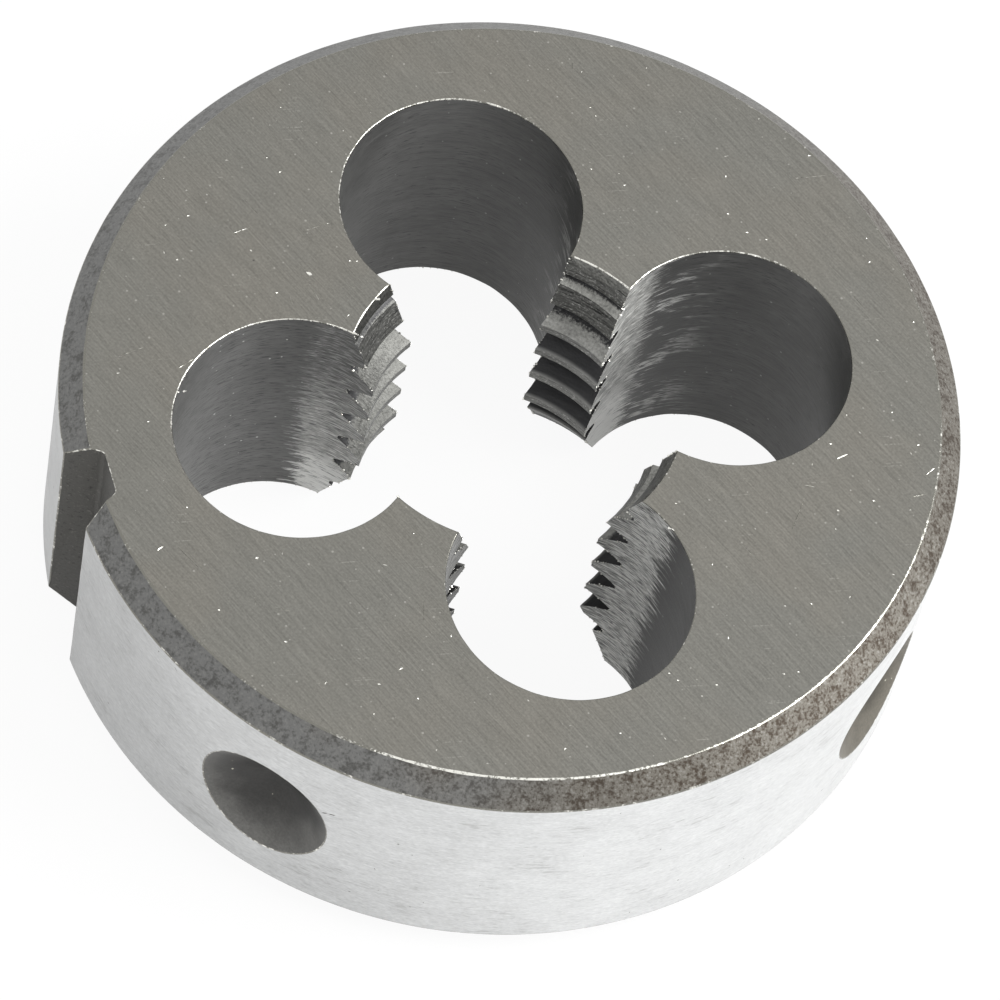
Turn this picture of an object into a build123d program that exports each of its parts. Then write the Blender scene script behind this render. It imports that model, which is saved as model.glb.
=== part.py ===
from build123d import *
from math import cos, radians, sin, tan
import os

os.makedirs("parts", exist_ok=True)

# Sizes are in millimetres and degrees. The thread runs along Z, and the die rests on the XY plane.

# Disc
outside_diameter = 38.0
thickness = 14.0
top_chamfer = 1.0
bottom_chamfer = 1.3

# Thread M14 x 2, right-hand, cut by the teeth on the lands
nominal_diameter = 14.0
thread_pitch = 2.0
thread_angle = 60.0
crest_flat = 0.42
root_flat = 0.19
thread_start = 0.31  # height of a groove's middle where it crosses the X axis

# Lead-in cones: the long gentle one starts the cut, the wider one lets the thread leave
top_lead_diameter = 14.4
top_lead_depth = 3.4
bottom_lead_diameter = 15.0
bottom_lead_depth = 3.3

# Clearance holes, which leave one land between each two of them
land_count = 4
clearance_hole_diameter = 10.35
clearance_circle_diameter = 18.76

# Fastening notch along the rim, close to the middle of a clearance hole
notch_angle = 227.2
notch_depth = 1.55
notch_root_width = 1.9
notch_flank_angle = 60.0
notch_root_radius = 0.3

# Conical seats for the holder's screws, one on the back of each land
screw_seat_diameter = 6.8
screw_seat_angle = 120.0

# How far a cutting shape runs past the face that it opens
cut_overlap = 0.15

outside_radius = outside_diameter / 2
land_spacing = 360 / land_count
notch_plane = Plane.XY.rotated((0, 0, notch_angle))

# Thread form: 60 degree flanks through the pitch radius, cut short at the crest and at the root
flank_slope = tan(radians(thread_angle / 2))
sharp_height = thread_pitch / 2 / flank_slope
pitch_radius = nominal_diameter / 2 - 3 / 8 * sharp_height
crest_radius = pitch_radius - (thread_pitch / 2 - crest_flat) / 2 / flank_slope
root_radius = pitch_radius + (thread_pitch / 2 - root_flat) / 2 / flank_slope
groove_mouth_radius = crest_radius - cut_overlap
groove_mouth_half_width = root_flat / 2 + (root_radius - groove_mouth_radius) * flank_slope

# The helical groove between the teeth, from one pitch below the disc to one pitch above it
with BuildPart() as thread_groove:
    groove_base = thread_start - thread_pitch
    with BuildLine() as groove_path:
        Helix(
            pitch=thread_pitch,
            height=thickness + 2 * thread_pitch,
            radius=pitch_radius,
            center=(0, 0, groove_base),
        )
    with BuildSketch(Plane.XZ):
        with BuildLine():
            Polyline(
                (groove_mouth_radius, groove_base - groove_mouth_half_width),
                (root_radius, groove_base - root_flat / 2),
                (root_radius, groove_base + root_flat / 2),
                (groove_mouth_radius, groove_base + groove_mouth_half_width),
                close=True,
            )
        make_face()
    sweep(path=groove_path.wires()[0], is_frenet=True)

# The die, in the order of its making: turned, threaded, relieved, then drilled and notched at the rim
with BuildPart() as die_body:
    # The circle starts at the notch, so that no seam crosses the rim or a screw seat
    with BuildSketch(notch_plane):
        Circle(outside_radius)
    extrude(amount=thickness)
    chamfer(die_body.edges().group_by(Axis.Z)[-1], length=top_chamfer)
    chamfer(die_body.edges().group_by(Axis.Z)[0], length=bottom_chamfer)

    # Bore to the tooth crests, and the thread
    Hole(radius=crest_radius)
    add(thread_groove.part, mode=Mode.SUBTRACT)

    # A lead-in cone at each end takes the first teeth down
    with Locations((0, 0, thickness)):
        Cone(
            bottom_radius=crest_radius,
            top_radius=top_lead_diameter / 2,
            height=top_lead_depth,
            align=(Align.CENTER, Align.CENTER, Align.MAX),
            mode=Mode.SUBTRACT,
        )
    Cone(
        bottom_radius=bottom_lead_diameter / 2,
        top_radius=crest_radius,
        height=bottom_lead_depth,
        align=(Align.CENTER, Align.CENTER, Align.MIN),
        mode=Mode.SUBTRACT,
    )

    # Clearance holes break into the bore
    with PolarLocations(clearance_circle_diameter / 2, land_count, start_angle=land_spacing / 2):
        Hole(radius=clearance_hole_diameter / 2)

    # Screw seats: drill-point cones, as deep as their rim needs
    seat_slope = tan(radians(screw_seat_angle / 2))
    seat_mouth_radius = screw_seat_diameter / 2 + cut_overlap * seat_slope
    for land in range(land_count):
        outwards = Vector(cos(radians(land * land_spacing)), sin(radians(land * land_spacing)), 0)
        seat_mouth = outwards * (outside_radius + cut_overlap) + Vector(0, 0, thickness / 2)
        with Locations(Plane(origin=seat_mouth, z_dir=outwards)):
            Cone(
                bottom_radius=0,
                top_radius=seat_mouth_radius,
                height=seat_mouth_radius / seat_slope,
                align=(Align.CENTER, Align.CENTER, Align.MAX),
                mode=Mode.SUBTRACT,
            )

    # Notch
    notch_slope = tan(radians(notch_flank_angle / 2))
    notch_root = outside_radius - notch_depth
    notch_mouth = outside_radius + cut_overlap
    notch_mouth_half_width = notch_root_width / 2 + (notch_mouth - notch_root) * notch_slope
    with BuildSketch(notch_plane) as notch:
        with BuildLine():
            Polyline(
                (notch_root, -notch_root_width / 2),
                (notch_mouth, -notch_mouth_half_width),
                (notch_mouth, notch_mouth_half_width),
                (notch_root, notch_root_width / 2),
                close=True,
            )
        make_face()
        fillet(notch.vertices().sort_by(SortBy.DISTANCE)[:2], radius=notch_root_radius)
    extrude(amount=thickness, mode=Mode.SUBTRACT)

die_body.part.label = "die_body"
export_step(die_body.part, "parts/die_body.step")
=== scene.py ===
import math
import random

import bmesh
import bpy
import numpy
from mathutils import Matrix, Vector, noise
from mathutils.geometry import delaunay_2d_cdt


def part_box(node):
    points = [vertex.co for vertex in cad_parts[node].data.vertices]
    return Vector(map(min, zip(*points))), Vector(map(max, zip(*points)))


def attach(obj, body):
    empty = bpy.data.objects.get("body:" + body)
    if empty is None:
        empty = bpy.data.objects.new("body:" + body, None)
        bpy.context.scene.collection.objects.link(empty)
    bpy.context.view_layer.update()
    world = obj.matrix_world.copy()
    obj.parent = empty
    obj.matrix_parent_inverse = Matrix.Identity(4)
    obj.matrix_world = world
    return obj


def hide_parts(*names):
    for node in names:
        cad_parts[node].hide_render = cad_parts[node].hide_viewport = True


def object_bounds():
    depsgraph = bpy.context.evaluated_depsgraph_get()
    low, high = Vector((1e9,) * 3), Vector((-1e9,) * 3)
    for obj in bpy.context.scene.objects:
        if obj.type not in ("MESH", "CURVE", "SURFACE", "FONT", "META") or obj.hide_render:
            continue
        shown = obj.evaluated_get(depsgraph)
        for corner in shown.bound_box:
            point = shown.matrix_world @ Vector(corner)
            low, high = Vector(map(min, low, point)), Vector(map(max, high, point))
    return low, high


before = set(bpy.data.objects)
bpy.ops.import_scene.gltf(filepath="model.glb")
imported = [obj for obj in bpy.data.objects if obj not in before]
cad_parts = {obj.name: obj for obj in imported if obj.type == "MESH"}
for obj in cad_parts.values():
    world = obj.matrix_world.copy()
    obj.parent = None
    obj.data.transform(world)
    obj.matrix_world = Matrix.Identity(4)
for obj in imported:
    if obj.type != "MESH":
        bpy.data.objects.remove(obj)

mm = 0.001
cadLow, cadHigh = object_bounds()
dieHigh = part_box("die_body")[1]
print("frame loaded")


def signs(operation):
    # the two methods of one sign: the wire first, and the wire second
    return (lambda wire, other: wire.blend(operation, wire, other),
            lambda wire, other: wire.blend(operation, other, wire))


class Wire:
    # one node socket; arithmetic on it adds the nodes that do the sum
    def __init__(self, nodes, socket):
        self.nodes = nodes
        self.socket = socket

    def maths(self, operation, *others):
        return self.nodes.add("ShaderNodeMath", {"operation": operation}, dict(enumerate((self,) + others)))

    def blend(self, operation, first, second):
        wide = any(isinstance(value, Wire) and value.socket.type != "VALUE" or isinstance(value, tuple)
                   for value in (first, second))
        kind = "ShaderNodeVectorMath" if wide else "ShaderNodeMath"
        return self.nodes.add(kind, {"operation": operation}, {0: first, 1: second})

    __add__, __radd__ = signs("ADD")
    __sub__, __rsub__ = signs("SUBTRACT")
    __mul__, __rmul__ = signs("MULTIPLY")
    __truediv__, __rtruediv__ = signs("DIVIDE")

    def __abs__(self):
        return self.maths("ABSOLUTE")

    def larger(self, other):
        return self.maths("MAXIMUM", other)

    def smaller(self, other):
        return self.maths("MINIMUM", other)

    def root(self):
        return self.maths("SQRT")

    def rise(self, low, high):
        # 0 below low, 1 above high, eased between; low may be the greater for a fall
        return self.nodes.add(
            "ShaderNodeMapRange", {"interpolation_type": "SMOOTHSTEP", "clamp": True},
            {"Value": self, "From Min": low, "From Max": high, "To Min": 0, "To Max": 1})


class Nodes:
    # the nodes of a material, of the world or of a Geometry Nodes tree
    def __init__(self, tree):
        self.tree = tree
        tree.nodes.clear()

    def add(self, kind, settings=None, values=None, output=0):
        # settings are set first, then the inputs
        made = self.tree.nodes.new(kind)
        for key, value in (settings or {}).items():
            setattr(made, key, value)
        for key, value in (values or {}).items():
            socket = made.inputs[key]
            if isinstance(value, Wire):
                self.tree.links.new(value.socket, socket)
            elif hasattr(socket.default_value, "__len__") and not isinstance(value, tuple):
                socket.default_value = (value,) * len(socket.default_value)
            elif hasattr(socket.default_value, "__len__"):
                socket.default_value = value + (1,) * (len(socket.default_value) - len(value))
            else:
                socket.default_value = value
        if isinstance(output, tuple):
            return tuple(Wire(self, made.outputs[name]) for name in output)
        return Wire(self, made.outputs[output])

    def end(self, kind, source):
        last = self.tree.nodes.new(kind)
        self.tree.links.new(source.socket, last.inputs[0])


class Finish(Nodes):
    # one material; at is the place on the piece in millimetres
    def __init__(self, name):
        self.material = bpy.data.materials.new(name)
        self.material.use_nodes = True
        super().__init__(self.material.node_tree)
        self.at = self.add("ShaderNodeTexCoord", output="Object") * (1 / mm, 1 / mm, 1 / mm)
        self.x, self.y, self.z = self.add("ShaderNodeSeparateXYZ", {}, {0: self.at}, ("X", "Y", "Z"))
        self.radius = (self.x * self.x + self.y * self.y).root()

    def turned(self, direction):
        # how far a place lies towards a direction from the axis, -1 to 1
        return (self.x * direction[0] + self.y * direction[1]) / self.radius

    def mix(self, amount, first, second):
        return self.add("ShaderNodeMix", {"data_type": "RGBA"}, {0: amount, 6: first, 7: second}, 2)

    def laid(self, scales, turn, offset):
        place = self.add("ShaderNodeMapping", {"vector_type": "POINT"},
                         {"Vector": self.at, "Location": offset, "Rotation": (0, 0, turn)})
        return place * scales

    def grain(self, scales, detail=2, roughness=0.5, offset=(0, 0, 0), turn=0):
        # noise, about 0 to 1; scales is lumps per millimetre, one number or one for each axis
        return self.add("ShaderNodeTexNoise", {"noise_dimensions": "3D"}, {
            "Vector": self.laid(scales, turn, offset), "Scale": 1,
            "Detail": detail, "Roughness": roughness})

    def specks(self, scales, reach, chance, turn=0, offset=(0, 0, 0), space="3D"):
        # marks, at most one in a cell; chance is the share of the cells that get one
        place = self.laid(scales, turn, offset)
        near, tint = self.add("ShaderNodeTexVoronoi", {"feature": "F1", "voronoi_dimensions": space},
                              {"Vector": place, "Scale": 1}, ("Distance", "Color"))
        lot, girth = self.add("ShaderNodeSeparateColor", {}, {0: tint}, ("Red", "Green"))
        kept = lot.rise(1 - chance, 1 - chance * 0.6)
        return (near / (girth + 0.4)).rise(reach, reach * 0.4) * kept

    def close(self, colour, rougher, height, look, metallic=None):
        # the look's relief is how deep the bumps are, in millimetres
        deep = look["relief"] * mm
        bump = self.add("ShaderNodeBump", {}, {"Height": height, "Strength": 1, "Distance": deep})
        shader = self.add("ShaderNodeBsdfPrincipled", {}, {
            "Base Color": colour, "Metallic": metallic or look.get("metallic", 1),
            "Roughness": look["roughness"] + rougher, "Normal": bump})
        self.end("ShaderNodeOutputMaterial", shader)
        return self.material


size = {
    "outerRadius": dieHigh.x,
    "thickness": dieHigh.z,
    "topChamfer": 1 * mm,
    "bottomChamfer": 1.3 * mm,
    "topMouthRadius": 7.2 * mm,
    "bottomMouthRadius": 7.5 * mm,
    "holeRadius": 5.175 * mm,
    "holeCircleRadius": 9.38 * mm,
    "seatRadius": 3.4 * mm,
    "crestRadius": 5.848 * mm,
    "grooveRadius": 7.052 * mm,
    "topLead": 3.4 * mm,
    "bottomLead": 3.3 * mm,
    "flankRise": 0.65,  # a thread flank's normal leans nearer the axis than a crest's or a cone's
    "notchTurn": math.radians(227.2),
    "notchReach": 2.2 * mm,  # how far in from the rim the notch faces are looked for
    "rimMesh": 1 * mm,  # spacing of the points on the outside
    "edgeWidth": 0.075 * mm,  # the worn break of a rim, at its widest
    "edgePiece": 0.32 * mm,  # length of one stretch of a rim between changes of width
    "curvedPiece": 0.165 * mm,  # the same where the rim bends tightly
    "edgeRipple": 0.65,  # swells of the worn width in each millimetre
    "edgeWidthSpread": 0.6,
    "seatEdgeShare": 0.45,
    "creaseAngle": math.radians(22),
    "notchEdgeShare": 0.42,
    "seed": 14,
}

# dents and scratches on the ground face, in millimetres: from, to, width, tone (0 dark, 1 bright)
faceMarks = [
    (-10.27, -0.05, -9.98, -0.03, 0.15, 1), (-13.79, -0.21, -13.37, 0.43, 0.045, 0.4),
    (-11.33, 1.7, -10.69, 2.6, 0.03, 0.25), (-9.06, 1.45, -8.97, 1.5, 0.07, 0.8),
    (-8.82, 1.6, -8.73, 1.64, 0.07, 0.8), (-10.78, -1.64, -10.68, -1.58, 0.08, 0.9),
    (4.41, 17.22, 4.54, 17.32, 0.08, 0.9), (2.98, 12.67, 3.08, 12.73, 0.07, 0.8),
    (4.98, 12.52, 5.08, 12.56, 0.07, 0.9), (4.13, 12.35, 4.23, 12.39, 0.07, 0.7),
    (13.85, -7.17, 13.95, -7.11, 0.08, 0.9), (12.43, -7.88, 12.53, -7.84, 0.07, 0.7),
    (11.97, -7.8, 12.07, -7.76, 0.07, 0.7), (11.68, -11.31, 11.78, -11.25, 0.08, 0.8),
    (-12.44, -0.86, -12.34, -0.8, 0.09, -0.3), (-8.57, 0.39, -7.8, 0.52, 0.03, 0.3),
    (4.54, 15.93, 5.6, 16.86, 0.03, 0.25), (-4.8, -12.85, -4.7, -12.73, 0.15, 1),
    (-1.8, -15.44, -1.66, -15.38, 0.09, 0.8), (-4.81, -15.74, -4.71, -15.68, 0.09, 0.9),
    (2.35, -14.95, 2.5, -14.88, 0.07, 0.8), (2.74, -13.92, 2.86, -13.72, 0.06, 0.7),
    (-8.3, -14.8, -8.2, -14.5, 0.06, 0.8), (-0.34, -10.12, -0.14, -10.06, 0.05, 0.6),
    (12.79, 4.93, 13.06, 5.4, 0.06, 0.8), (12.18, 5.38, 12.28, 5.44, 0.08, 1),
    (11.38, -0.82, 12.53, -1.16, 0.03, 0.25), (12.89, 0.91, 12.57, 2.58, 0.025, 0.2),
    (12.29, 3.08, 12.68, 3.23, 0.04, 0.55), (15.02, 4.04, 15.12, 4.1, 0.09, 1),
    (14.37, -2.38, 14.47, -2.34, 0.07, 0.7), (15.25, -1.67, 15.35, -1.63, 0.07, 0.8),
    (15.9, -5.15, 16, -5.11, 0.07, 0.9), (16.36, -4.72, 16.46, -4.68, 0.07, 0.8),
    (13.6, -7.94, 13.7, -7.9, 0.07, 0.6), (16.29, 6.42, 16.42, 6.9, 0.04, 0.5),
    (16.3, 5.14, 16.75, 5.63, 0.035, 0.4), (-7.7, -14.2, -6.2, -14.6, 0.025, 0.2),
    (-12.2, -7.1, -11.9, -6.3, 0.035, 0.35), (-14.6, -8.1, -13.9, -7, 0.03, 0.25),
]
# the hair-fine scratch on the outside: turn in degrees and height in millimetres at its bends
rimScratch = [(-82.17, 8.97), (-81.28, 9.14), (-80.23, 9.21)]
markLook = {
    "depth": 0.016,
    "strayCount": 85,
    "strayLength": (0.05, 0.16),
    "strayLine": 0.12,  # share of the stray marks that are lines
    "strayLineLength": (0.3, 1.1),
    "strayLineTurn": math.radians(-20),
    "strayLineSpread": 0.7,
    "strayLineWidth": 0.028,
    "strayLineTone": (0.1, 0.35),
    "strayWidth": (0.035, 0.085),
    "strayTone": (0.15, 0.75),
    "clear": 0.09,
    "faceClear": 0.14,  # between a mark on a face and that face's rims
    "notchClear": 3.4,
    "rimClear": 2.5,  # the same from the notch, along the outside
    "rimLow": 1.6,
    "rimHigh": 12.7,
    "step": 0.09,  # between the points along a mark
    "underCount": 70,
    "rimCount": 60,
    "seed": 5,
}


def heading(turn):
    return Vector((math.cos(turn), math.sin(turn), 0))


holeCentres = [heading(math.radians(turn)) * size["holeCircleRadius"] for turn in (45, 135, 225, 315)]
seatAxes = [heading(math.radians(turn)) for turn in (0, 90, 180, 270)]


faceLook = {
    "colour": (0.21, 0.206, 0.186),
    "warm": (0.212, 0.204, 0.181),
    "lineTurn": math.radians(18),
    "coarseContrast": 0.26,
    "fineContrast": 0.46,
    "cloudContrast": 0.1,
    "mottleContrast": 0.7,
    "dotColour": (0.52, 0.51, 0.47),
    "dotShare": 0.5,
    "hairTurn": math.radians(-38),
    "hairShare": 0.35,
    "roughness": 0.4,
    "relief": 0.003,
}


def groundFace(finish, look):
    coarse = finish.grain((0.3, 7.5, 1), 2, 0.6, turn=look["lineTurn"])
    fine = finish.grain((0.8, 17, 1), 1, 0.5, (3, 1, 0), look["lineTurn"])
    mottle = finish.grain(9, 2, 0.7)
    cloud = finish.grain(0.17, 2, 0.55)
    tone = (1 + (coarse - 0.5) * look["coarseContrast"] + (fine - 0.5) * look["fineContrast"]
            + (cloud - 0.5) * look["cloudContrast"] + (mottle - 0.5) * look["mottleContrast"])
    plain = finish.mix(cloud.rise(0.35, 0.65), look["colour"], look["warm"])
    dots = finish.specks(1.7, 0.085, 0.22, 0.4, (5, 2, 0), "2D")
    hairs = finish.specks((0.3, 7, 0.3), 0.15, 0.12, look["hairTurn"], (1, 3, 0), "2D")
    marks = (dots * look["dotShare"]).larger(hairs * mottle.rise(0.4, 0.6) * look["hairShare"])
    colour = finish.mix(marks, tone * plain, look["dotColour"])
    return finish.close(colour, (coarse - 0.5) * 0.2 - marks * 0.1, coarse, look)


rimLook = {
    "colour": (0.525, 0.53, 0.529),
    "streakContrast": 0.45,
    "fineContrast": 0.62,
    "cloudContrast": 0.34,
    "bright": (0.93, -0.37),  # the side given a painted highlight, where light falls from the right, as a direction
    "polish": 0.22,
    "dark": (0.24, 0.235, 0.225),
    "soil": 0.3,
    "roughness": 0.32,
    "relief": 0.003,
}


def groundRim(finish, look):
    streak = finish.grain((1.1, 1.1, 6.5), 3, 0.7)
    fineStreak = finish.grain((4.5, 4.5, 13), 2, 0.65)
    cloud = finish.grain((0.35, 0.35, 0.5), 3, 0.65)
    # the tone includes a painted highlight that makes the side towards the light lighter
    tone = (1 + (streak - 0.5) * look["streakContrast"] + (fineStreak - 0.5) * look["fineContrast"]
            + (cloud - 0.5) * look["cloudContrast"]
            + finish.turned(look["bright"]).rise(0.6, 1) * look["polish"])
    soiled = (streak + (cloud - 0.5) * 0.8).rise(0.37, 0.24)
    colour = finish.mix(soiled * look["soil"], tone * look["colour"], look["dark"])
    return finish.close(colour, (streak - 0.5) * 0.2, fineStreak, look)


scaleLook = {
    "colour": (0.172, 0.172, 0.168),
    "dark": (0.075, 0.074, 0.07),
    "light": (0.31, 0.305, 0.287),
    "brown": (0.148, 0.137, 0.119),
    "brownDark": (0.052, 0.04, 0.03),
    "brownSide": (0.98, 0.2),  # where the scale has turned brown, as a direction
    "blotchShare": 0.75,
    "pitShare": 0.35,
    "chipShare": 0.28,
    "roughness": 0.48,
    "relief": 0.012,
    "metallic": 0.85,
}


def mottledChamfer(finish, look):
    blotch = finish.grain(2, 3, 0.65)
    speck = finish.grain(7.5, 2, 0.65)
    wide = finish.grain(0.3, 1, 0.5)
    brown = (finish.turned(look["brownSide"]) + (wide - 0.5) * 1.2).rise(-0.35, 0.75)
    base = finish.mix(brown, look["colour"], look["brown"])
    dark = finish.mix(brown, look["dark"], look["brownDark"])
    soft = (blotch + (speck - 0.5) * 0.35).rise(0.56, 0.28)
    pits = (speck + (blotch - 0.5) * 0.4).rise(0.49, 0.37)
    chips = (speck + (blotch - 0.5) * 0.3).rise(0.54, 0.74)
    base = finish.mix(soft * look["blotchShare"], base, dark)
    base = finish.mix(pits * (look["pitShare"] + brown * 0.45), base, dark)
    base = finish.mix(chips * (look["chipShare"] + brown * 0.2), base, look["light"])
    return finish.close(base, (blotch - 0.5) * 0.3, speck, look)


wallLook = {
    "colour": (0.106, 0.106, 0.103),
    "dark": (0.03, 0.03, 0.03),
    "light": (0.95, 0.95, 0.92),
    "recut": (0.38, 0.38, 0.365),
    "recutReach": 8.95,  # how far from the die's axis the wall was cut again, in millimetres
    "streakReach": 12.2,
    "polishedHeight": 3.6,  # below this the cut stretch is bright with a painted reflection of the floor
    # painted light: the walls of the left holes that face the lamp are made lighter
    "leftLighter": 0.1,
    "scouredLighter": 0.3,
    "lowerDarker": 0.55,
    "lowerLighter": 0.34,
    "dullEnd": 0.66,
    "rubbedShare": 0.7,
    "lineShare": 0.75,
    "roughness": 0.4,
    "relief": 0.012,
    "metallic": 0.55,
    "recutLessMetallic": 0.3,
}


def drilledWall(finish, look):
    ring = finish.grain((0.45, 0.45, 4.2), 3, 0.7)
    fineRing = finish.grain((1.8, 1.8, 15), 2, 0.65)
    cloud = finish.grain((0.5, 0.5, 0.7), 2, 0.6, (2, 6, 1))
    tone = 1 + (ring - 0.5) * 1.1 + (fineRing - 0.5) * 0.6 + (cloud - 0.5) * 0.6
    # the hole between the lands at 270 and 0 degrees, and the one between those at 180 and 270
    lowerHole = (finish.x - finish.y).rise(6.5, 9)
    leftHole = (finish.x + finish.y).rise(-6.5, -9)
    across = finish.x + finish.y
    # beside each cutting edge it was cut again, so it is brighter and torn into streaks
    torn = (fineRing - 0.5) * 2.4 + (ring - 0.5) * 3.6 + (cloud - 0.5)
    reach = finish.radius + torn + leftHole * (7 - finish.z).larger(0) * 0.07
    recut = reach.rise(look["recutReach"] + 0.2, look["recutReach"] - 0.2)
    # on the side of negative x the cut fades out towards the top
    faded = finish.x.rise(1, -1) * finish.z.rise(5, 11.5)
    # two of the four holes have a painted reflection of the floor at the foot, one higher up than the other
    low = finish.z + (cloud - 0.5) * 3 - across * 0.05
    low = low.rise(look["polishedHeight"] + 0.8, look["polishedHeight"] - 0.8)
    low = low * (finish.x * finish.y).rise(2, 12)
    streaks = (fineRing + lowerHole * 0.03).rise(0.48, 0.7 - lowerHole * 0.1)
    gouges = (fineRing - lowerHole * 0.03).rise(0.46, 0.3) * (1 - low * 0.8)
    # beyond it some turns of the tool rubbed bright
    beyond = finish.radius.rise(look["streakReach"], look["recutReach"] + 0.6)
    lightened = (ring + (cloud - 0.5) * 0.9).rise(0.53, 0.66) * beyond * fineRing.rise(0.35, 0.6)
    lightened = lightened * across.rise(2, 9) * (1 - lowerHole)
    # painted light: walls on the side of negative x face the lamp and are lighter, the hole between the lands
    # at 180 and 270 a little lighter as a whole
    paintedLightLeft = finish.x.rise(-6.5, -11.5)
    tone = tone * (1 + leftHole * look["leftLighter"] + paintedLightLeft * look["scouredLighter"]
                   - lowerHole * (1 - recut) * look["lowerDarker"]
                   + lowerHole * recut * look["lowerLighter"])
    lines = (fineRing - leftHole * 0.02).rise(0.46, 0.3) * (cloud + leftHole * 0.15).rise(0.35, 0.65)
    # one end of the land at 270 degrees was left dull
    dullEnd = finish.x.rise(0.6, 1.2) * across.rise(-1.5, -3)
    ground = finish.mix(recut * (1 - faded * 0.85), tone * look["colour"],
                        tone * look["recut"] * (1 - dullEnd * look["dullEnd"]))
    # shine holds the torn streaks and the painted reflection at the foot
    shine = (streaks * (0.85 - faded * 0.5 - dullEnd * 0.7)).larger(low * 0.85)
    bright = (recut * shine).larger(lightened * look["rubbedShare"])
    dust = finish.specks(2.2, 0.11, 0.5) * (0.25 + leftHole * 0.4)
    colour = finish.mix(bright.larger(dust), ground, look["light"])
    colour = finish.mix((gouges * recut * 0.85).larger(lines * look["lineShare"]), colour, look["dark"])
    metallic = look["metallic"] - (recut.larger(lightened)) * look["recutLessMetallic"]
    return finish.close(colour, (ring - 0.5) * 0.25, fineRing, look, metallic)


crestLook = {
    "colour": (0.19, 0.19, 0.18),
    "light": (0.7, 0.7, 0.66),
    "dark": (0.045, 0.045, 0.044),
    "lightShare": 0.6,
    "darkShare": 0.8,
    "roughness": 0.42,
    "relief": 0.03,
    "metallic": 0.85,
}


def cutCrest(finish, look):
    ring = finish.grain((0.9, 0.9, 11), 2, 0.7)
    grit = finish.grain((8, 8, 12), 2, 0.65)
    tone = 1 + (ring - 0.5) * 1.6 + (grit - 0.5) * 1.2
    colour = finish.mix(grit.rise(0.56, 0.72) * look["lightShare"], tone * look["colour"], look["light"])
    colour = finish.mix(ring.rise(0.44, 0.3) * look["darkShare"], colour, look["dark"])
    return finish.close(colour, (grit - 0.5) * 0.3, ring, look)


flankLook = {
    "colour": (0.038, 0.038, 0.039),
    "light": (0.24, 0.24, 0.23),
    "lightHigh": (0.24, 0.24, 0.225),
    "roughness": 0.45,
    "lightWidth": 0.06,  # width of the painted light beside a crest, where the tooth above casts no shade, in millimetres
    "lightWidthHigh": 0.7,  # the same near the top face
    "darkRoot": 0.22,  # what stays in painted shade above the root of a groove
    # how much the painted light on the land at 180 degrees is toned down
    "leftDarker": 0.6,
    "relief": 0.02,
    "metallic": 0.85,
}


def cutFlank(finish, look):
    crest = size["crestRadius"] / mm
    thickness = size["thickness"] / mm
    topSlope = (size["topMouthRadius"] / mm - crest) / (size["topLead"] / mm)
    bottomSlope = (size["bottomMouthRadius"] / mm - crest) / (size["bottomLead"] / mm)
    topCrest = crest + (finish.z - (thickness - size["topLead"] / mm)) * topSlope
    bottomCrest = crest + (size["bottomLead"] / mm - finish.z) * bottomSlope
    depth = finish.radius - topCrest.larger(bottomCrest).larger(crest)
    ring = finish.grain((0.9, 0.9, 9), 2, 0.65)
    grit = finish.grain(8, 2, 0.65)
    # painted light: the land at 180 degrees faces the lamp and is light from top to bottom, the others only
    # near the top, where no tooth above shades them
    leftward = finish.turned((-1, 0)).rise(0.45, 0.8)
    high = finish.z.rise(8.6, 11).larger(leftward)
    paintedLightBand = look["lightWidth"] + high * (look["lightWidthHigh"] - look["lightWidth"])
    near = (paintedLightBand + (grit - 0.5) * 0.5 * high - depth).rise(-0.12, 0.1)
    outOfPaintedShade = size["grooveRadius"] / mm - finish.radius + (grit - 0.5) * 0.2
    outOfPaintedShade = outOfPaintedShade.rise(look["darkRoot"] * 0.5, look["darkRoot"]).larger(finish.z.rise(13.1, 13.4))
    tone = 1 + (ring - 0.5) * 0.8 + (grit - 0.5) * (0.4 + high * 1.4)
    light = finish.mix(high, look["light"], look["lightHigh"])
    # the flank is dark with painted shade of the tooth above, and light only in the painted band beside the
    # crest
    colour = finish.mix(near * outOfPaintedShade, tone * look["colour"],
                        tone * (1 - leftward * look["leftDarker"]) * light)
    return finish.close(colour, (grit - 0.5) * 0.25, grit, look)


seatLook = {
    "colour": (0.042, 0.041, 0.039),
    "light": (0.128, 0.126, 0.119),
    "brown": (1, 0.93, 0.8),  # tint of the seats where the die has turned brown
    "speckColour": (0.62, 0.6, 0.5),
    "roughness": 0.5,
    "relief": 0.008,
    "metallic": 0.55,
}


def screwSeat(finish, look):
    cloud = finish.grain(0.6, 2, 0.6)
    grit = finish.grain(8, 2, 0.7)
    # how far out on the cone: 0 on its point, 1 on its rim
    side = abs(finish.x).smaller(abs(finish.y))
    up = finish.z - size["thickness"] / mm / 2
    out = (side * side + up * up).root() / (size["seatRadius"] / mm)
    tone = 1 + (cloud - 0.5) * 0.3 + (grit - 0.5) * 0.9
    # painted shade: darker towards the point of the cone, lighter towards its rim
    lightened = (out + (cloud - 0.5) * 0.6).rise(0.45, 1)
    base = finish.mix(lightened, look["colour"], look["light"])
    base = finish.mix(finish.x.rise(6, 12), base, base * look["brown"])
    specks = finish.specks(1.6, 0.07, 0.4)
    colour = finish.mix(specks, tone * base, look["speckColour"])
    return finish.close(colour, (grit - 0.5) * 0.2, grit, look)


notchLook = {
    "colour": (0.082, 0.08, 0.074),
    "dark": (0.022, 0.021, 0.02),
    "light": (0.24, 0.235, 0.215),
    "pitShare": 0.7,
    "lightShare": 0.5,
    "roughness": 0.5,
    "relief": 0.015,
    "metallic": 0.85,
}


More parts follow.
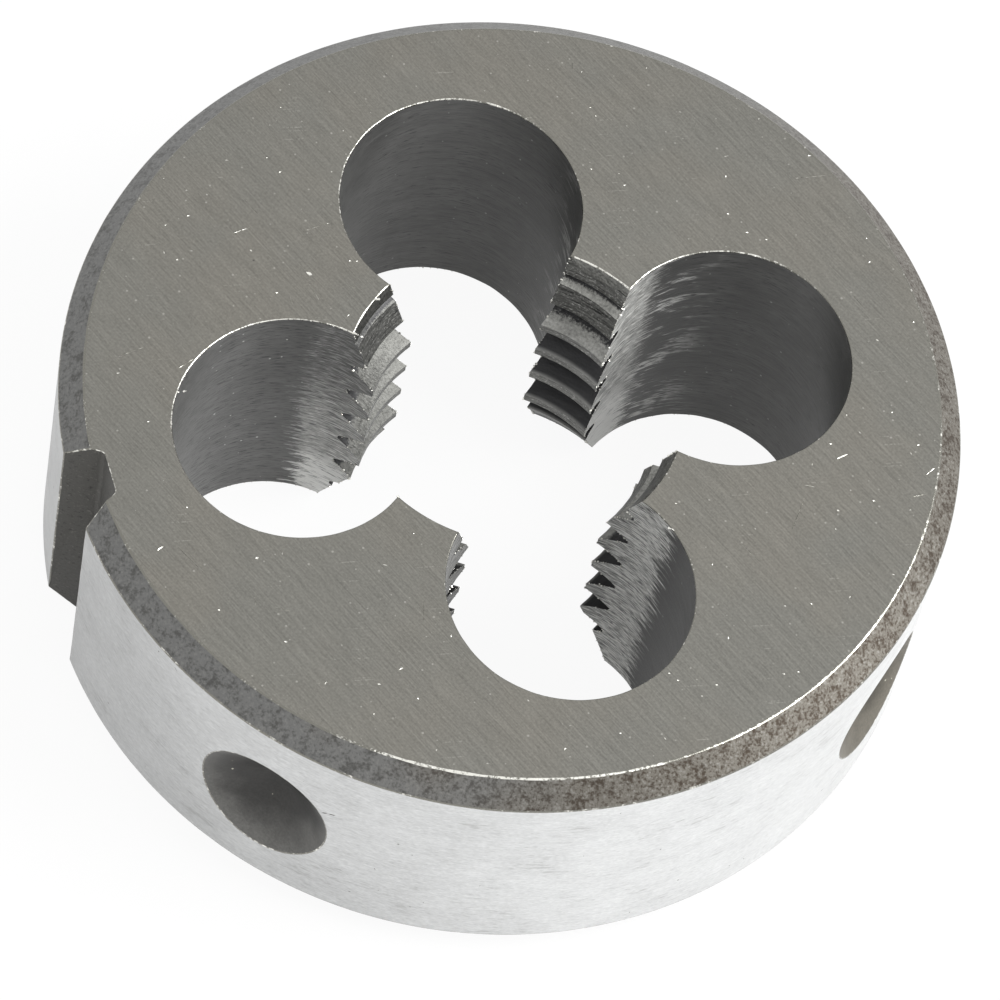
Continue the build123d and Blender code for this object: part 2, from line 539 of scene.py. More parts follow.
def sawnNotch(finish, look):
    grit = finish.grain(6, 3, 0.65)
    pits = finish.grain(5, 2, 0.7, (3, 0, 1))
    base = finish.mix(pits.rise(0.45, 0.25) * look["pitShare"], look["colour"], look["dark"])
    base = finish.mix(grit.rise(0.56, 0.75) * look["lightShare"], base, look["light"])
    return finish.close(base, (grit - 0.5) * 0.3, grit, look)


edgeLook = {
    "colour": (0.82, 0.81, 0.755),
    "dull": (0.21, 0.205, 0.182),
    "roughness": 0.28,
    "relief": 0.008,
}


def wornEdgeAndHighlight(finish, look):
    dots = finish.grain(5.5, 2, 0.65)
    wear = finish.add("ShaderNodeAttribute", {"attribute_name": "wear"}, {}, "Fac")
    runs = finish.grain(1.1, 1, 0.5, (4, 0, 2))
    # the rims are bright with wear, brighter still with painted highlights where they face the lamp and the
    # camera
    bright = (wear + (dots - 0.5) * 1.7 + (runs - 0.5) * 0.8).rise(0.3, 0.72)
    colour = finish.mix(bright, look["dull"], look["colour"])
    return finish.close(colour, (dots - 0.5) * 0.2, dots, look)


nickLook = {
    "colour": (0.86, 0.85, 0.79),
    "dull": (0.085, 0.082, 0.075),
    "roughness": 0.3,
    "relief": 0.004,
}


def brightNick(finish, look):
    spread = finish.grain(5, 1, 0.5)
    wear = finish.add("ShaderNodeAttribute", {"attribute_name": "wear"}, {}, "Fac")
    colour = finish.mix((wear + (spread - 0.5) * 0.5).rise(-0.25, 0.85), look["dull"], look["colour"])
    return finish.close(colour, (spread - 0.5) * 0.2, spread, look)


# one row for each surface of the die, in the order of the mesh's slots
finishRows = {
    "face": (groundFace, faceLook),
    "rim": (groundRim, rimLook),
    "chamfer": (mottledChamfer, scaleLook),
    "wall": (drilledWall, wallLook),
    "crest": (cutCrest, crestLook),
    "flank": (cutFlank, flankLook),
    "seat": (screwSeat, seatLook),
    "notch": (sawnNotch, notchLook),
    "edge": (wornEdgeAndHighlight, edgeLook),
    "nick": (brightNick, nickLook),
}
finishOrder = list(finishRows)
slotOf = {name: number for number, name in enumerate(finishOrder)}
finishes = {name: make(Finish(make.__name__), look) for name, (make, look) in finishRows.items()}
print("finishes made")


def linked(name, data):
    made = bpy.data.objects.new(name, data)
    bpy.context.scene.collection.objects.link(made)
    return made


def settle(piece, modifier, name):
    # puts the evaluated mesh in the piece's place and takes the modifier off
    bpy.context.view_layer.update()
    plain = bpy.data.meshes.new_from_object(piece.evaluated_get(bpy.context.evaluated_depsgraph_get()))
    piece.modifiers.remove(modifier)
    piece.data = plain
    plain.name = name


def flatRadius(point):
    return math.hypot(point.x, point.y)


def flatGap(point, hole):
    return math.hypot(point.x - hole.x, point.y - hole.y)


def nearestHole(point):
    return min(holeCentres, key=lambda hole: flatGap(point, hole))


def regionOf(face):
    # which surface of the die a face of the solid lies on
    centre = face.calc_center_median()
    corners = [vert.co for vert in face.verts]
    slack = 0.03 * mm
    if abs(face.normal.z) > 0.995 and (centre.z < slack or centre.z > size["thickness"] - slack):
        return "face"
    if all(abs(flatRadius(c) - size["outerRadius"]) < slack for c in corners):
        return "rim"
    chamferSpan = max(size["topChamfer"], size["bottomChamfer"])
    if flatRadius(centre) > size["outerRadius"] - chamferSpan and abs(face.normal.z) > 0.5:
        if (min(c.z for c in corners) > size["thickness"] - size["topChamfer"] - slack
                or max(c.z for c in corners) < size["bottomChamfer"] + slack):
            return "chamfer"
    for axis in seatAxes:
        along = centre.dot(axis)
        across = Vector((-axis.y, axis.x, 0)).dot(centre)
        if along > size["outerRadius"] - size["seatRadius"] and math.hypot(
                across, centre.z - size["thickness"] / 2) < size["seatRadius"] + slack:
            return "seat"
    for hole in holeCentres:
        if all(abs(flatGap(c, hole) - size["holeRadius"]) < slack for c in corners):
            return "wall"
    if flatRadius(centre) > size["outerRadius"] - size["notchReach"]:
        return "notch"
    if abs(face.normal.z) > size["flankRise"] or flatRadius(centre) > size["grooveRadius"] - slack:
        return "flank"
    return "crest"


def trueNormal(region, point, upward):
    # the exact normal of a turned or drilled surface; None where the mesh's own is used
    up = Vector((0, 0, 1 if upward > 0 else -1))
    side = Vector((point.x, point.y, 0)).normalized()
    if region == "wall":
        hole = nearestHole(point)
        return Vector((hole.x - point.x, hole.y - point.y, 0)).normalized()
    return {"face": up, "rim": side, "chamfer": (side + up).normalized()}.get(region)


def snapToRound(vert, pair):
    # puts a point added on a rim's chord back on the rim's circle
    point = vert.co
    atTop = point.z > size["thickness"] / 2
    around = flatRadius(point)
    if pair == {"face", "chamfer"}:
        goal = size["outerRadius"] - (size["topChamfer"] if atTop else size["bottomChamfer"])
    elif "rim" in pair and pair != {"rim", "notch"}:
        goal = size["outerRadius"]
    elif pair in ({"face", "crest"}, {"face", "flank"}):
        goal = size["topMouthRadius"] if atTop else size["bottomMouthRadius"]
    elif pair == {"face", "wall"}:
        hole = nearestHole(point)
        out = Vector((point.x - hole.x, point.y - hole.y, 0)).normalized() * size["holeRadius"]
        vert.co = Vector((hole.x + out.x, hole.y + out.y, point.z))
        return
    else:
        return
    if abs(around - goal) < 0.1 * mm:
        vert.co = Vector((point.x * goal / around, point.y * goal / around, point.z))


def unrollRim(point):
    turn = (math.atan2(point.y, point.x) - size["notchTurn"]) % (2 * math.pi)
    return Vector((turn * size["outerRadius"], point.z)) / mm


def rollRim(place, depth=0):
    turn = place.x * mm / size["outerRadius"] + size["notchTurn"]
    reach = size["outerRadius"] - depth * mm
    return Vector((math.cos(turn) * reach, math.sin(turn) * reach, place.y * mm))


def insideLines(corners, lines, places):
    # even-odd test of many places against all the lines at once
    start, end = (numpy.array([tuple(corners[line[side]]) for line in lines]) for side in (0, 1))
    kept = []
    for place in places:
        over = (start[:, 1] > place.y) != (end[:, 1] > place.y)
        low, high = start[over], end[over]
        reach = low[:, 0] + (place.y - low[:, 1]) * (high[:, 0] - low[:, 0]) / (high[:, 1] - low[:, 1])
        kept.append(numpy.count_nonzero(reach > place.x) % 2 == 1)
    return kept


def relay(shape, old, flatten, lift, sure, spare, marks, draw):
    # lays a surface again as triangles, with dents let into it; flat places are in millimetres
    index = old[0].material_index
    oldSet = set(old)
    edges = {edge for face in old for edge in face.edges}
    border = [edge for edge in edges if sum(1 for face in edge.link_faces if face in oldSet) == 1]
    kept = {vert for edge in border for vert in edge.verts}
    loose = {vert for face in old for vert in face.verts} - kept
    inner = edges - set(border)
    outward = sum((face.normal * face.calc_area() for face in old), Vector())
    rolled = lift is rollRim
    bmesh.ops.delete(shape, geom=old, context="FACES_ONLY")
    bmesh.ops.delete(shape, geom=list(inner), context="EDGES")
    bmesh.ops.delete(shape, geom=[vert for vert in loose if vert.is_valid], context="VERTS")
    verts = [vert for vert in kept if vert.is_valid]
    number = {vert: place for place, vert in enumerate(verts)}
    corners = [flatten(vert.co) for vert in verts]
    lines = [(number[edge.verts[0]], number[edge.verts[1]]) for edge in border if edge.is_valid]
    outlines = []
    dents = []
    for startX, startY, endX, endY, width, tone in marks:
        start = Vector((startX, startY))
        end = Vector((endX, endY))
        run = end - start
        side = Vector((-run.y, run.x)).normalized() * width / 2
        steps = max(2, round(run.length / markLook["step"]))
        left, middle, right = [], [], []
        for step in range(1, steps):
            base = start + run * (step + draw.uniform(-0.2, 0.2)) / steps
            swell = 1 if steps < 5 else draw.uniform(0.45, 1)
            left.append(base + side * draw.uniform(0.7, 1) * swell)
            right.append(base - side * draw.uniform(0.7, 1) * swell)
            middle.append(base + side * draw.uniform(-0.2, 0.2))
        outline = [start] + left + [end] + right[::-1]
        first = len(verts)
        for place in outline:
            corners.append(place)
            verts.append(shape.verts.new(lift(place)))
        ring = list(range(first, len(verts)))
        outlines += list(zip(ring, ring[1:] + ring[:1]))
        deep = [shape.verts.new(lift(place, markLook["depth"] * draw.uniform(0.6, 1))) for place in middle]
        upper = [verts[place] for place in ring[:steps + 1]]
        lower = [verts[ring[0]]] + [verts[place] for place in ring[:steps:-1]] + [upper[-1]]
        dents.append((upper, [upper[0]] + deep + [upper[-1]], lower, tone))
    for place in spare:
        corners.append(place)
        verts.append(shape.verts.new(lift(place)))
    netted = delaunay_2d_cdt(corners, lines + outlines, [], 0, 1e-6)
    points, triples, source = netted[0], netted[2], netted[3]
    placed = [verts[origin[0]] if origin else shape.verts.new(lift(point))
              for point, origin in zip(points, source)]
    middles = [(points[a] + points[b] + points[c]) / 3 for a, b, c in triples]
    within = insideLines(corners, lines, middles)
    dented = insideLines(corners, outlines, middles) if outlines else [False] * len(middles)
    for triple, middle, inside, dent in zip(triples, middles, within, dented):
        three = [placed[place] for place in triple]
        if not dent and (inside or sure(middle)) and len(set(three)) == 3:
            layFace(shape, three, index, rolled, outward)
    wearAndHighlightLayer = shape.faces.layers.float["wear"]
    for upper, deep, lower, tone in dents:
        for step in range(len(upper) - 1):
            for near, far in ((upper, deep), (deep, lower)):
                four = [near[step], near[step + 1], far[step + 1], far[step]]
                four = [vert for place, vert in enumerate(four) if vert not in four[:place]]
                if len(four) > 2:
                    made = layFace(shape, four, slotOf["nick"], rolled, outward)
                    made[wearAndHighlightLayer] = tone


def layFace(shape, corners, index, rolled, outward):
    face = shape.faces.new(corners)
    face.normal_update()
    towards = face.calc_center_median() if rolled else outward
    if rolled:
        towards.z = 0
    if face.normal.dot(towards) < 0:
        face.normal_flip()
    face.material_index = index
    return face


def fromSeat(place):
    # how far a place on the unrolled outside is from the nearest seat's middle
    middles = [unrollRim(axis * size["outerRadius"]).x for axis in seatAxes]
    return min(math.hypot(place.x - middle, place.y - size["thickness"] / mm / 2) for middle in middles)


def rimGrid():
    # an even net of points on the unrolled outside, clear of the seats and of the notch
    pitch = size["rimMesh"] / mm
    around = 2 * math.pi * size["outerRadius"] / mm
    low = size["bottomChamfer"] / mm
    high = (size["thickness"] - size["topChamfer"]) / mm
    across = round(around / pitch)
    rows = round((high - low) / pitch)
    net = []
    for row in range(1, rows):
        for column in range(1, across):
            place = Vector((around * (column + (row % 2) * 0.5) / across, low + (high - low) * row / rows))
            if place.x < around - pitch * 0.6 and fromSeat(place) > size["seatRadius"] / mm + pitch * 0.6:
                net.append(place)
    return net


def strayMarks(count, allowed, box, draw, taken):
    # small dents and hairlines thrown where allowed says so, never touching each other
    look = markLook
    marks = []
    tries = 0
    while len(marks) < count and tries < count * 30:
        tries += 1
        here = Vector((draw.uniform(box[0], box[2]), draw.uniform(box[1], box[3])))
        if draw.random() < look["strayLine"]:
            length = draw.uniform(*look["strayLineLength"])
            turn = look["strayLineTurn"] + draw.uniform(-1, 1) * look["strayLineSpread"]
            width, tone = look["strayLineWidth"], draw.uniform(*look["strayLineTone"])
        else:
            length = draw.uniform(*look["strayLength"])
            turn = draw.uniform(0, math.pi)
            width = min(draw.uniform(*look["strayWidth"]), length)
            tone = draw.uniform(*look["strayTone"])
        step = Vector((math.cos(turn), math.sin(turn))) * length / 2
        ends = (here - step, here, here + step)
        reach = length / 2 + look["clear"]
        if not all(allowed(place) for place in ends):
            continue
        if any((here - other).length < reach + far for other, far in taken):
            continue
        taken.append((here, reach))
        marks.append((ends[0].x, ends[0].y, ends[2].x, ends[2].y, width, tone))
    return marks


def onFace(top):
    clear = markLook["faceClear"]
    outer = (size["outerRadius"] - (size["topChamfer"] if top else size["bottomChamfer"])) / mm - clear
    mouth = (size["topMouthRadius"] if top else size["bottomMouthRadius"]) / mm + clear
    holes = [hole.xy / mm for hole in holeCentres]
    notch = heading(size["notchTurn"]).xy * size["outerRadius"] / mm

    def allowed(place):
        return (mouth < place.length < outer and (place - notch).length > markLook["notchClear"]
                and all((place - hole).length > size["holeRadius"] / mm + clear for hole in holes))
    return allowed


def onRim(place):
    look = markLook
    around = size["outerRadius"] / mm * 2 * math.pi
    return (look["rimClear"] < place.x < around - look["rimClear"]
            and look["rimLow"] < place.y < look["rimHigh"]
            and fromSeat(place) > size["seatRadius"] / mm + 0.2)


# how bright the broken rims are: 0 dull, 1 bright all along, between them in dots; wear, with painted
# highlights on the sides that face the lamp and the camera
wearAndHighlightLook = {
    "teeth": 0.42,
    "hole": 0.14,
    "holeReach": 0.2 * mm,  # how far from its circle a rim's break is looked for
    "holeHighlightSide": math.radians(150),  # the side of the holes whose rims get the painted highlight
    "holeMore": (0.34, 0.34, 0.5, 0.02),  # what that side adds, hole by hole
    "mouth": 0.22,
    # painted highlight on the far side of the mouth
    "mouthHighlight": 0.6,
    "mouthReach": 0.35 * mm,
    "top": 0.12,
    # painted highlights on the top rim's near side: turn, spread, foot, rise and most
    "topHighlights": [(-60, 22, 0.26, 1, 0.6), (-15, 60, 0.17, 0.6, 0.36)],
    "outside": 0.2,
    "outsideMiddle": 0.3,
    "middle": (3 * mm, 11 * mm),  # the heights between which the outside's rims are brighter
    "rimReach": 0.25 * mm,
}


def wearAndHighlightAt(point):
    look = wearAndHighlightLook
    around = flatRadius(point)
    turn = math.degrees(math.atan2(point.y, point.x))
    hole = nearestHole(point)
    if abs(flatGap(point, hole) - size["holeRadius"]) < look["holeReach"]:
        facing = math.cos(math.atan2(point.y - hole.y, point.x - hole.x) - look["holeHighlightSide"])
        more = look["holeMore"][holeCentres.index(hole)]
        return look["hole"] + more * min(max((facing - 0.1) / 0.6, 0), 1)
    if abs(around - size["topMouthRadius"]) < look["mouthReach"]:
        return look["mouthHighlight"] if turn > 45 or turn < -135 else look["mouth"]
    atTop = point.z > size["thickness"] / 2
    if atTop and abs(around - size["outerRadius"] + size["topChamfer"]) < look["rimReach"]:
        return max(look["top"], *(min(most, foot + (1 - abs(turn - at) / spread) * rise)
                                  for at, spread, foot, rise, most in look["topHighlights"]))
    if around > size["outerRadius"] - look["rimReach"]:
        low, high = look["middle"]
        return look["outsideMiddle"] if low < point.z < high else look["outside"]
    return look["teeth"]


# the surfaces between which an edge is worn
brokenPairs = [{"face", other} for other in ("chamfer", "wall", "crest", "flank", "notch")]
brokenPairs += [{"rim", "chamfer"}, {"rim", "seat"}, {"rim", "notch"}, {"chamfer", "notch"}]


def makeDie():
    draw = random.Random(size["seed"])
    shape = bmesh.new()
    shape.from_mesh(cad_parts["die_body"].data)
    bmesh.ops.remove_doubles(shape, verts=shape.verts, dist=1e-7)
    widthLayer = shape.edges.layers.float.new("bevel_weight_edge")
    shape.faces.layers.float.new("wear")
    for face in shape.faces:
        face.material_index = slotOf[regionOf(face)]
    rims = []
    for edge in shape.edges:
        if len(edge.link_faces) == 2:
            pair = {finishOrder[face.material_index] for face in edge.link_faces}
            if pair in brokenPairs:
                rims.append((edge, pair))
    for edge, pair in rims:
        longest = size["curvedPiece"] if pair & {"wall", "crest", "flank"} else size["edgePiece"]
        parts = max(1, math.ceil(edge.calc_length() / longest))
        pieces = [edge]
        start = edge.verts[0]
        for step in range(parts - 1):
            made, vert = bmesh.utils.edge_split(edge, start, 1 / (parts - step))
            pieces.append(made)
            start = vert
            snapToRound(vert, pair)
        for piece in pieces:
            ripple = noise.noise((piece.verts[0].co + piece.verts[1].co) / mm * size["edgeRipple"])
            share = 1 - size["edgeWidthSpread"] * min(max(0.5 + ripple * 0.7, 0), 1)
            if "seat" in pair:
                share = size["seatEdgeShare"]
            elif pair == {"face", "notch"}:
                share = size["notchEdgeShare"]
            piece[widthLayer] = share
    rimFaces = [face for face in shape.faces if face.material_index == slotOf["rim"]]
    relay(shape, rimFaces, unrollRim, rollRim, onRim, rimGrid(), [], draw)
    flat = [edge for edge in shape.edges if edge[widthLayer] == 0 and len(edge.link_faces) == 2
            and edge.link_faces[0].material_index == edge.link_faces[1].material_index == slotOf["face"]]
    bmesh.ops.dissolve_limit(shape, angle_limit=math.radians(0.05), edges=flat, verts=[])
    mesh = bpy.data.meshes.new("threadingDie")
    shape.to_mesh(mesh)
    shape.free()
    die = linked("threadingDie", mesh)
    for material in finishes.values():
        mesh.materials.append(material)
    worn = die.modifiers.new("wornRims", "BEVEL")
    worn.limit_method = "WEIGHT"
    worn.width = size["edgeWidth"]
    worn.segments = 2
    worn.use_clamp_overlap = False
    worn.material = slotOf["edge"]
    settle(die, worn, "threadingDie")
    bpy.data.meshes.remove(mesh)
    paths = dressDie(die)
    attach(die, "root")
    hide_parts("die_body")
    return paths


def dressDie(die):
    # dents, wear with painted highlights, and exact normals on the finished mesh; gives back the rims where
    # burrs stand
    look = markLook
    draw = random.Random(look["seed"])
    mesh = die.data
    shape = bmesh.new()
    shape.from_mesh(mesh)
    edgeIndex = slotOf["edge"]
    wearAndHighlightLayer = shape.faces.layers.float["wear"]
    for face in shape.faces:
        if face.material_index == edgeIndex:
            face[wearAndHighlightLayer] = wearAndHighlightAt(face.calc_center_median())
    paths = burrPaths(shape)
    for top in (True, False):
        level = size["thickness"] if top else 0
        sheet = [face for face in shape.faces if face.material_index == slotOf["face"]
                 and abs(face.calc_center_median().z - level) < 0.1 * mm]
        marks = list(faceMarks) if top else []
        taken = [(Vector((mark[0] + mark[2], mark[1] + mark[3])) / 2,
                  math.hypot(mark[2] - mark[0], mark[3] - mark[1]) / 2 + look["clear"]) for mark in marks]
        outer = (size["outerRadius"] - size["topChamfer"]) / mm
        marks += strayMarks(look["strayCount"] if top else look["underCount"], onFace(top),
                            (-outer, -outer, outer, outer), draw, taken)

        def liftFlat(place, depth=0, level=level, inward=1 if top else -1):
            return Vector((place.x * mm, place.y * mm, level - depth * mm * inward))

        relay(shape, sheet, lambda point: point.xy / mm, liftFlat, onFace(top), [], marks, draw)
    rimFaces = [face for face in shape.faces if face.material_index == slotOf["rim"]]
    around = 2 * math.pi * size["outerRadius"] / mm
    bends = [unrollRim(rollRim(Vector(((math.radians(turn) - size["notchTurn"]) % (2 * math.pi)
                                       * size["outerRadius"] / mm, height)))) for turn, height in rimScratch]
    rimMarks = [(first.x + 0.02, first.y, second.x - 0.02, second.y, 0.07, -0.3)
                for first, second in zip(bends, bends[1:])]
    taken = [(place, 0.6) for place in bends]
    box = (look["rimClear"], look["rimLow"], around - look["rimClear"], look["rimHigh"])
    rimMarks += [mark[:5] + (-0.12,) for mark in strayMarks(look["rimCount"], onRim, box, draw, taken)]
    net = [place for place in rimGrid() if all((place - other).length > far + 0.1 for other, far in taken)]
    relay(shape, rimFaces, unrollRim, rollRim, onRim, net, rimMarks, draw)
    bmesh.ops.triangulate(shape, faces=[f for f in shape.faces if len(f.verts) > 3])
    for edge in shape.edges:
        sharp = len(edge.link_faces) == 2 and edge.calc_face_angle(0) > size["creaseAngle"]
        worn = any(face.material_index == edgeIndex for face in edge.link_faces)
        edge.smooth = worn or not sharp
    for vert in shape.verts:
        vert.co = Vector((min(max(place, low), high) for place, low, high in zip(vert.co, cadLow, cadHigh)))
    for face in shape.faces:
        face.smooth = face.material_index != slotOf["nick"]
    print("die mesh has", len(shape.faces), "triangles and",
          sum(len(edge.link_faces) != 2 for edge in shape.edges), "open edges")
    shape.normal_update()
    wanted = []
    for face in shape.faces:
        region = finishOrder[face.material_index]
        for loop in face.loops:
            normal = trueNormal(region, loop.vert.co, face.normal.z)
            if region == "edge":
                # a break's outer points take the normal of the surface they meet
                met = [f for f in loop.vert.link_faces if f.material_index != edgeIndex]
                kinds = {f.material_index for f in met}
                if len(kinds) == 1:
                    normal = trueNormal(finishOrder[met[0].material_index], loop.vert.co, met[0].normal.z)
                    normal = normal or met[0].normal.copy()
                else:
                    normal = loop.vert.normal.copy()
            wanted.append(normal or Vector((0, 0, 0)))
    shape.to_mesh(mesh)
    shape.free()
    mesh.normals_split_custom_set(wanted)
    return paths


def burrPaths(shape):
    # the middle lines of the bright rims, and the rims between the hole walls and the teeth
    edgeIndex = slotOf["edge"]
    wallIndex = slotOf["wall"]
    toothIndices = (slotOf["crest"], slotOf["flank"])
    wearAndHighlightLayer = shape.faces.layers.float["wear"]
    rims, teeth = [], []
    for edge in shape.edges:
        if len(edge.link_faces) != 2:
            continue
        kinds = {face.material_index for face in edge.link_faces}
        ends = (edge.verts[0].co.copy(), edge.verts[1].co.copy())
        if kinds == {edgeIndex} and min(face[wearAndHighlightLayer] for face in edge.link_faces) > 0.43:
            if abs(ends[0].z - ends[1].z) < 0.01 * mm and edge.calc_length() > 0.12 * mm:
                rims.append(ends)
        elif wallIndex in kinds and any(kind in kinds for kind in toothIndices):
            teeth.append(ends)
    return rims, teeth


burrLook = {
    "rims": {"Spacing": 0.16 * mm, "Share": 0.3, "Smallest": 0.016 * mm, "Largest": 0.046 * mm, "Seed": 3},
    "teeth": {"Spacing": 0.13 * mm, "Share": 0.4, "Smallest": 0.015 * mm, "Largest": 0.065 * mm, "Seed": 8},
    "placed": {"Spacing": 0.07 * mm, "Share": 0.9, "Smallest": 0.03 * mm, "Largest": 0.07 * mm, "Seed": 2},
    "sink": 0.002 * mm,
}
# the larger burrs that stand on the rims, in millimetres: from, to
bigBurrs = [(7.04, -11.98, 7.41, -11.89), (-11.66, -8.07, -11.35, -7.79), (8.59, -1.93, 8.88, -1.85),
            (-7.26, 0.44, -7.05, 0.58), (-7.24, -1.44, -6.64, -1.38), (-8.11, -1.63, -7.65, -1.49),
            (5.18, 11.81, 5.3, 12)]


def makeBurrTree():
    # small sharp lumps set at random along the lines it is given
    tree = bpy.data.node_groups.new("rimBurrs", "GeometryNodeTree")
    inputs = {"Geometry": "Geometry", "Spacing": "Float", "Share": "Float", "Smallest": "Float",
              "Largest": "Float", "Seed": "Int", "Finish": "Material"}
    for name, kind in inputs.items():
        tree.interface.new_socket(name, in_out="INPUT", socket_type="NodeSocket" + kind)
    tree.interface.new_socket("Geometry", in_out="OUTPUT", socket_type="NodeSocketGeometry")
    nodes = Nodes(tree)
    lines, spacing, share, smallest, largest, seed, finish = nodes.add("NodeGroupInput", output=tuple(inputs))

    def chance(kind, values, output):
        return nodes.add("FunctionNodeRandomValue", {"data_type": kind}, {**values, "Seed": seed}, output)

    path = nodes.add("GeometryNodeMeshToCurve", {}, {"Mesh": lines})
    even = nodes.add("GeometryNodeResampleCurve", {"mode": "LENGTH"}, {"Curve": path, "Length": spacing})
    kept = chance("BOOLEAN", {"Probability": share}, 3)
    turn = chance("FLOAT_VECTOR", {0: 0, 1: 6.28}, 0)
    girth = chance("FLOAT", {2: smallest, 3: largest}, 1)
    squash = chance("FLOAT_VECTOR", {0: 0.5, 1: 1.3}, 0)
    scale = nodes.add("ShaderNodeVectorMath", {"operation": "SCALE"}, {0: squash, "Scale": girth})
    lump = nodes.add("GeometryNodeMeshIcoSphere", {}, {"Radius": 1, "Subdivisions": 1})
    grown = nodes.add("GeometryNodeInstanceOnPoints", {}, {
        "Points": even, "Selection": kept, "Instance": lump, "Rotation": turn, "Scale": scale})
    real = nodes.add("GeometryNodeRealizeInstances", {}, {0: grown})
    dressed = nodes.add("GeometryNodeSetMaterial", {}, {"Geometry": real, "Material": finish})
    nodes.end("NodeGroupOutput", dressed)
    return tree


def makeBurrs(name, tree, lines, values):
    points = [end for ends in lines for end in ends]
    mesh = bpy.data.meshes.new(name)
    mesh.from_pydata(points, [(place, place + 1) for place in range(0, len(points), 2)], [])
    shape = bmesh.new()
    shape.from_mesh(mesh)
    bmesh.ops.remove_doubles(shape, verts=shape.verts, dist=1e-7)
    shape.to_mesh(mesh)
    shape.free()
    burrs = linked(name, mesh)
    grown = burrs.modifiers.new("burrs", "NODES")
    grown.node_group = tree
    given = {**values, "Finish": finishes["nick"]}
    for item in tree.interface.items_tree:
        if item.in_out == "INPUT" and item.name in given:
            grown[item.identifier] = given[item.name]
    settle(burrs, grown, name)
    plain = burrs.data
    reach = size["outerRadius"] - burrLook["sink"]
    roof = size["thickness"] - burrLook["sink"]
    for vert in plain.vertices:
        around = flatRadius(vert.co)
        squeeze = min(1, reach / around)
        vert.co = Vector((vert.co.x * squeeze, vert.co.y * squeeze,
                          min(max(vert.co.z, burrLook["sink"]), roof)))
    tone = plain.attributes.new("wear", "FLOAT", "FACE")
    tone.data.foreach_set("value", [0.95] * len(plain.polygons))
    print(name, len(plain.polygons), "triangles")
    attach(burrs, "root")


rimLines, toothLines = makeDie()
burrTree = makeBurrTree()
makeBurrs("rimBurrs", burrTree, rimLines, burrLook["rims"])
makeBurrs("toothBurrs", burrTree, toothLines, burrLook["teeth"])
bigLines = [(Vector((a * mm, b * mm, size["thickness"])), Vector((c * mm, d * mm, size["thickness"])))
            for a, b, c, d in bigBurrs]
makeBurrs("largeBurrs", burrTree, bigLines, burrLook["placed"])
print("die made")


studioLook = {
    "floorHalf": 0.9,
    "floorColour": (0.97, 0.97, 0.97),
    "paperWhite": 0.93,
    "paperWhiteShiny": 0.5,
    "worldDiffuse": 0.7,
    "lamps": [
        # name, azimuth and elevation in degrees, distance, width, watts
        ("softRight", 112, 42, 0.55, 0.4, 4),
        ("softFront", 30, 35, 0.6, 0.5, 0.06),
    ],
}


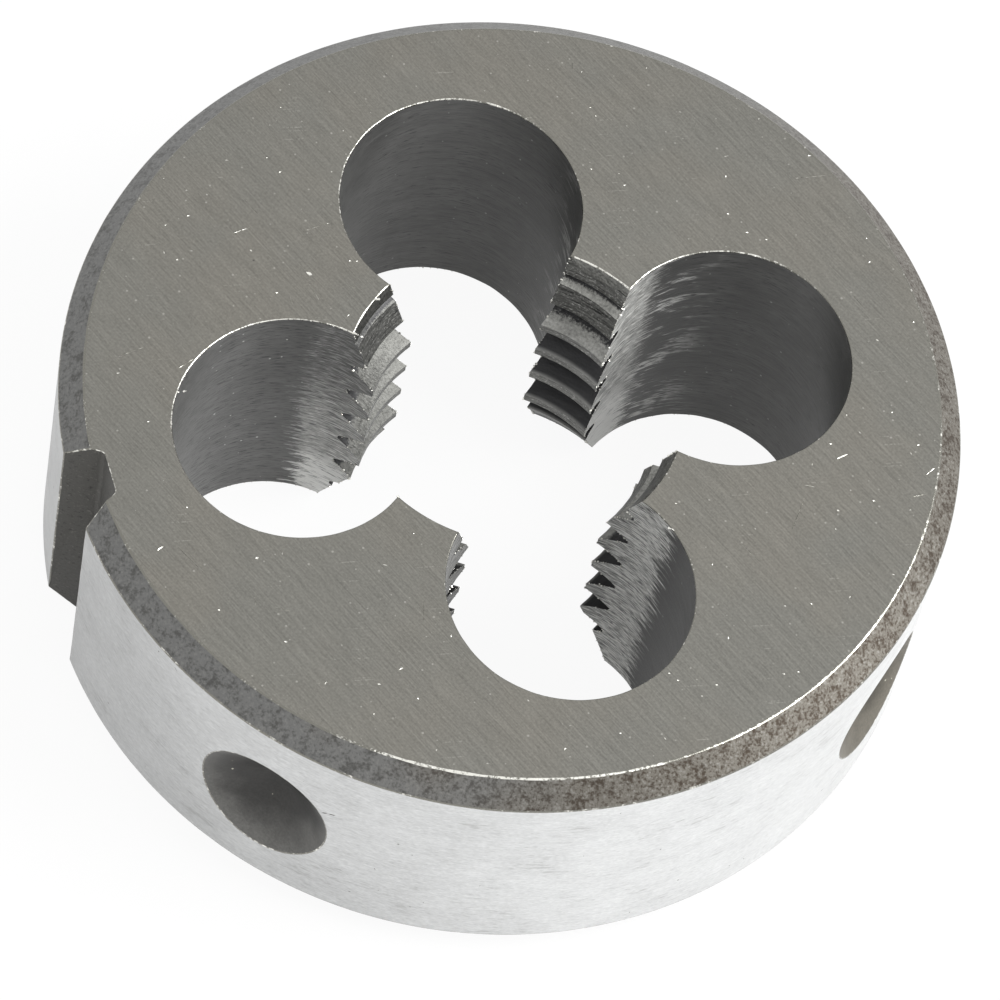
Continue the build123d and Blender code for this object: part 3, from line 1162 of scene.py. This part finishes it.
def makeStudio():
    look = studioLook
    rays = ("Is Camera Ray", "Is Glossy Ray", "Is Transmission Ray")
    floorMesh = bpy.data.meshes.new("floor")
    half = look["floorHalf"]
    corners = [(-half, -half, 0), (half, -half, 0), (half, half, 0), (-half, half, 0)]
    floorMesh.from_pydata(corners, [], [(0, 1, 2, 3)])
    floor = linked("floor", floorMesh)
    paper = Finish("paleFloor")
    shade = paper.grain(0.02, 1)
    tint = (1 + (shade - 0.5) * 0.01) * look["floorColour"]
    lit = paper.add("ShaderNodeBsdfDiffuse", {}, {"Color": tint})
    glow = paper.add("ShaderNodeEmission", {}, {"Color": (1, 1, 1), "Strength": 1})
    straight, shiny, through = paper.add("ShaderNodeLightPath", {}, {}, rays)
    shown = (straight.larger(through) * look["paperWhite"]).larger(shiny * look["paperWhiteShiny"])
    paper.end("ShaderNodeOutputMaterial", paper.add("ShaderNodeMixShader", {}, {0: shown, 1: lit, 2: glow}))
    floorMesh.materials.append(paper.material)
    world = bpy.data.worlds.new("studio")
    bpy.context.scene.world = world
    world.use_nodes = True
    sky = Nodes(world.node_tree)
    straight, shiny, through = sky.add("ShaderNodeLightPath", {}, {}, rays)
    seen = straight.larger(shiny).larger(through)
    strength = look["worldDiffuse"] + seen * (1 - look["worldDiffuse"])
    sky.end("ShaderNodeOutputWorld", sky.add("ShaderNodeBackground", {}, {
        "Color": (1, 1, 1), "Strength": strength}))
    for name, azimuth, elevation, distance, spread, power in look["lamps"]:
        lamp = bpy.data.lights.new(name, "AREA")
        lamp.shape = "DISK"
        lamp.size = spread
        lamp.energy = power
        holder = linked(name, lamp)
        side = math.radians(azimuth)
        lift = math.radians(elevation)
        place = Vector((math.sin(side) * math.cos(lift), -math.cos(side) * math.cos(lift), math.sin(lift)))
        place *= distance
        holder.location = place
        holder.rotation_euler = place.to_track_quat("Z", "Y").to_euler()


cameraPlace = {
    "azimuth": 19.2394,
    "elevation": 60.30686,
    "roll": 13.35092,
    "distance": 280.198 * mm,
    "aimSideways": 0.9593 * mm,
    "aimUpright": 2.2437 * mm,
    "lens": 231.4507,
}


def makeCamera():
    place = cameraPlace
    turn = Matrix.Rotation(math.radians(place["azimuth"]), 3, "Z")
    lift = math.radians(place["elevation"])
    roll = math.radians(place["roll"])
    back = turn @ Vector((0, -math.cos(lift), math.sin(lift)))
    level = turn @ Vector((1, 0, 0))
    climb = turn @ Vector((0, math.sin(lift), math.cos(lift)))
    sideways = level * math.cos(roll) + climb * math.sin(roll)
    upright = climb * math.cos(roll) - level * math.sin(roll)
    eye = sideways * place["aimSideways"] + upright * place["aimUpright"] + back * place["distance"]
    lens = bpy.data.cameras.new("camera")
    lens.lens = place["lens"]
    lens.sensor_width = 36
    lens.clip_start = 0.01
    lens.clip_end = 20
    camera = linked("camera", lens)
    facing = Matrix((sideways, upright, back)).transposed().to_4x4()
    camera.matrix_world = Matrix.Translation(eye) @ facing
    bpy.context.scene.camera = camera


makeStudio()
makeCamera()
bpy.context.scene.view_settings.view_transform = "Standard"
print("studio and camera made")
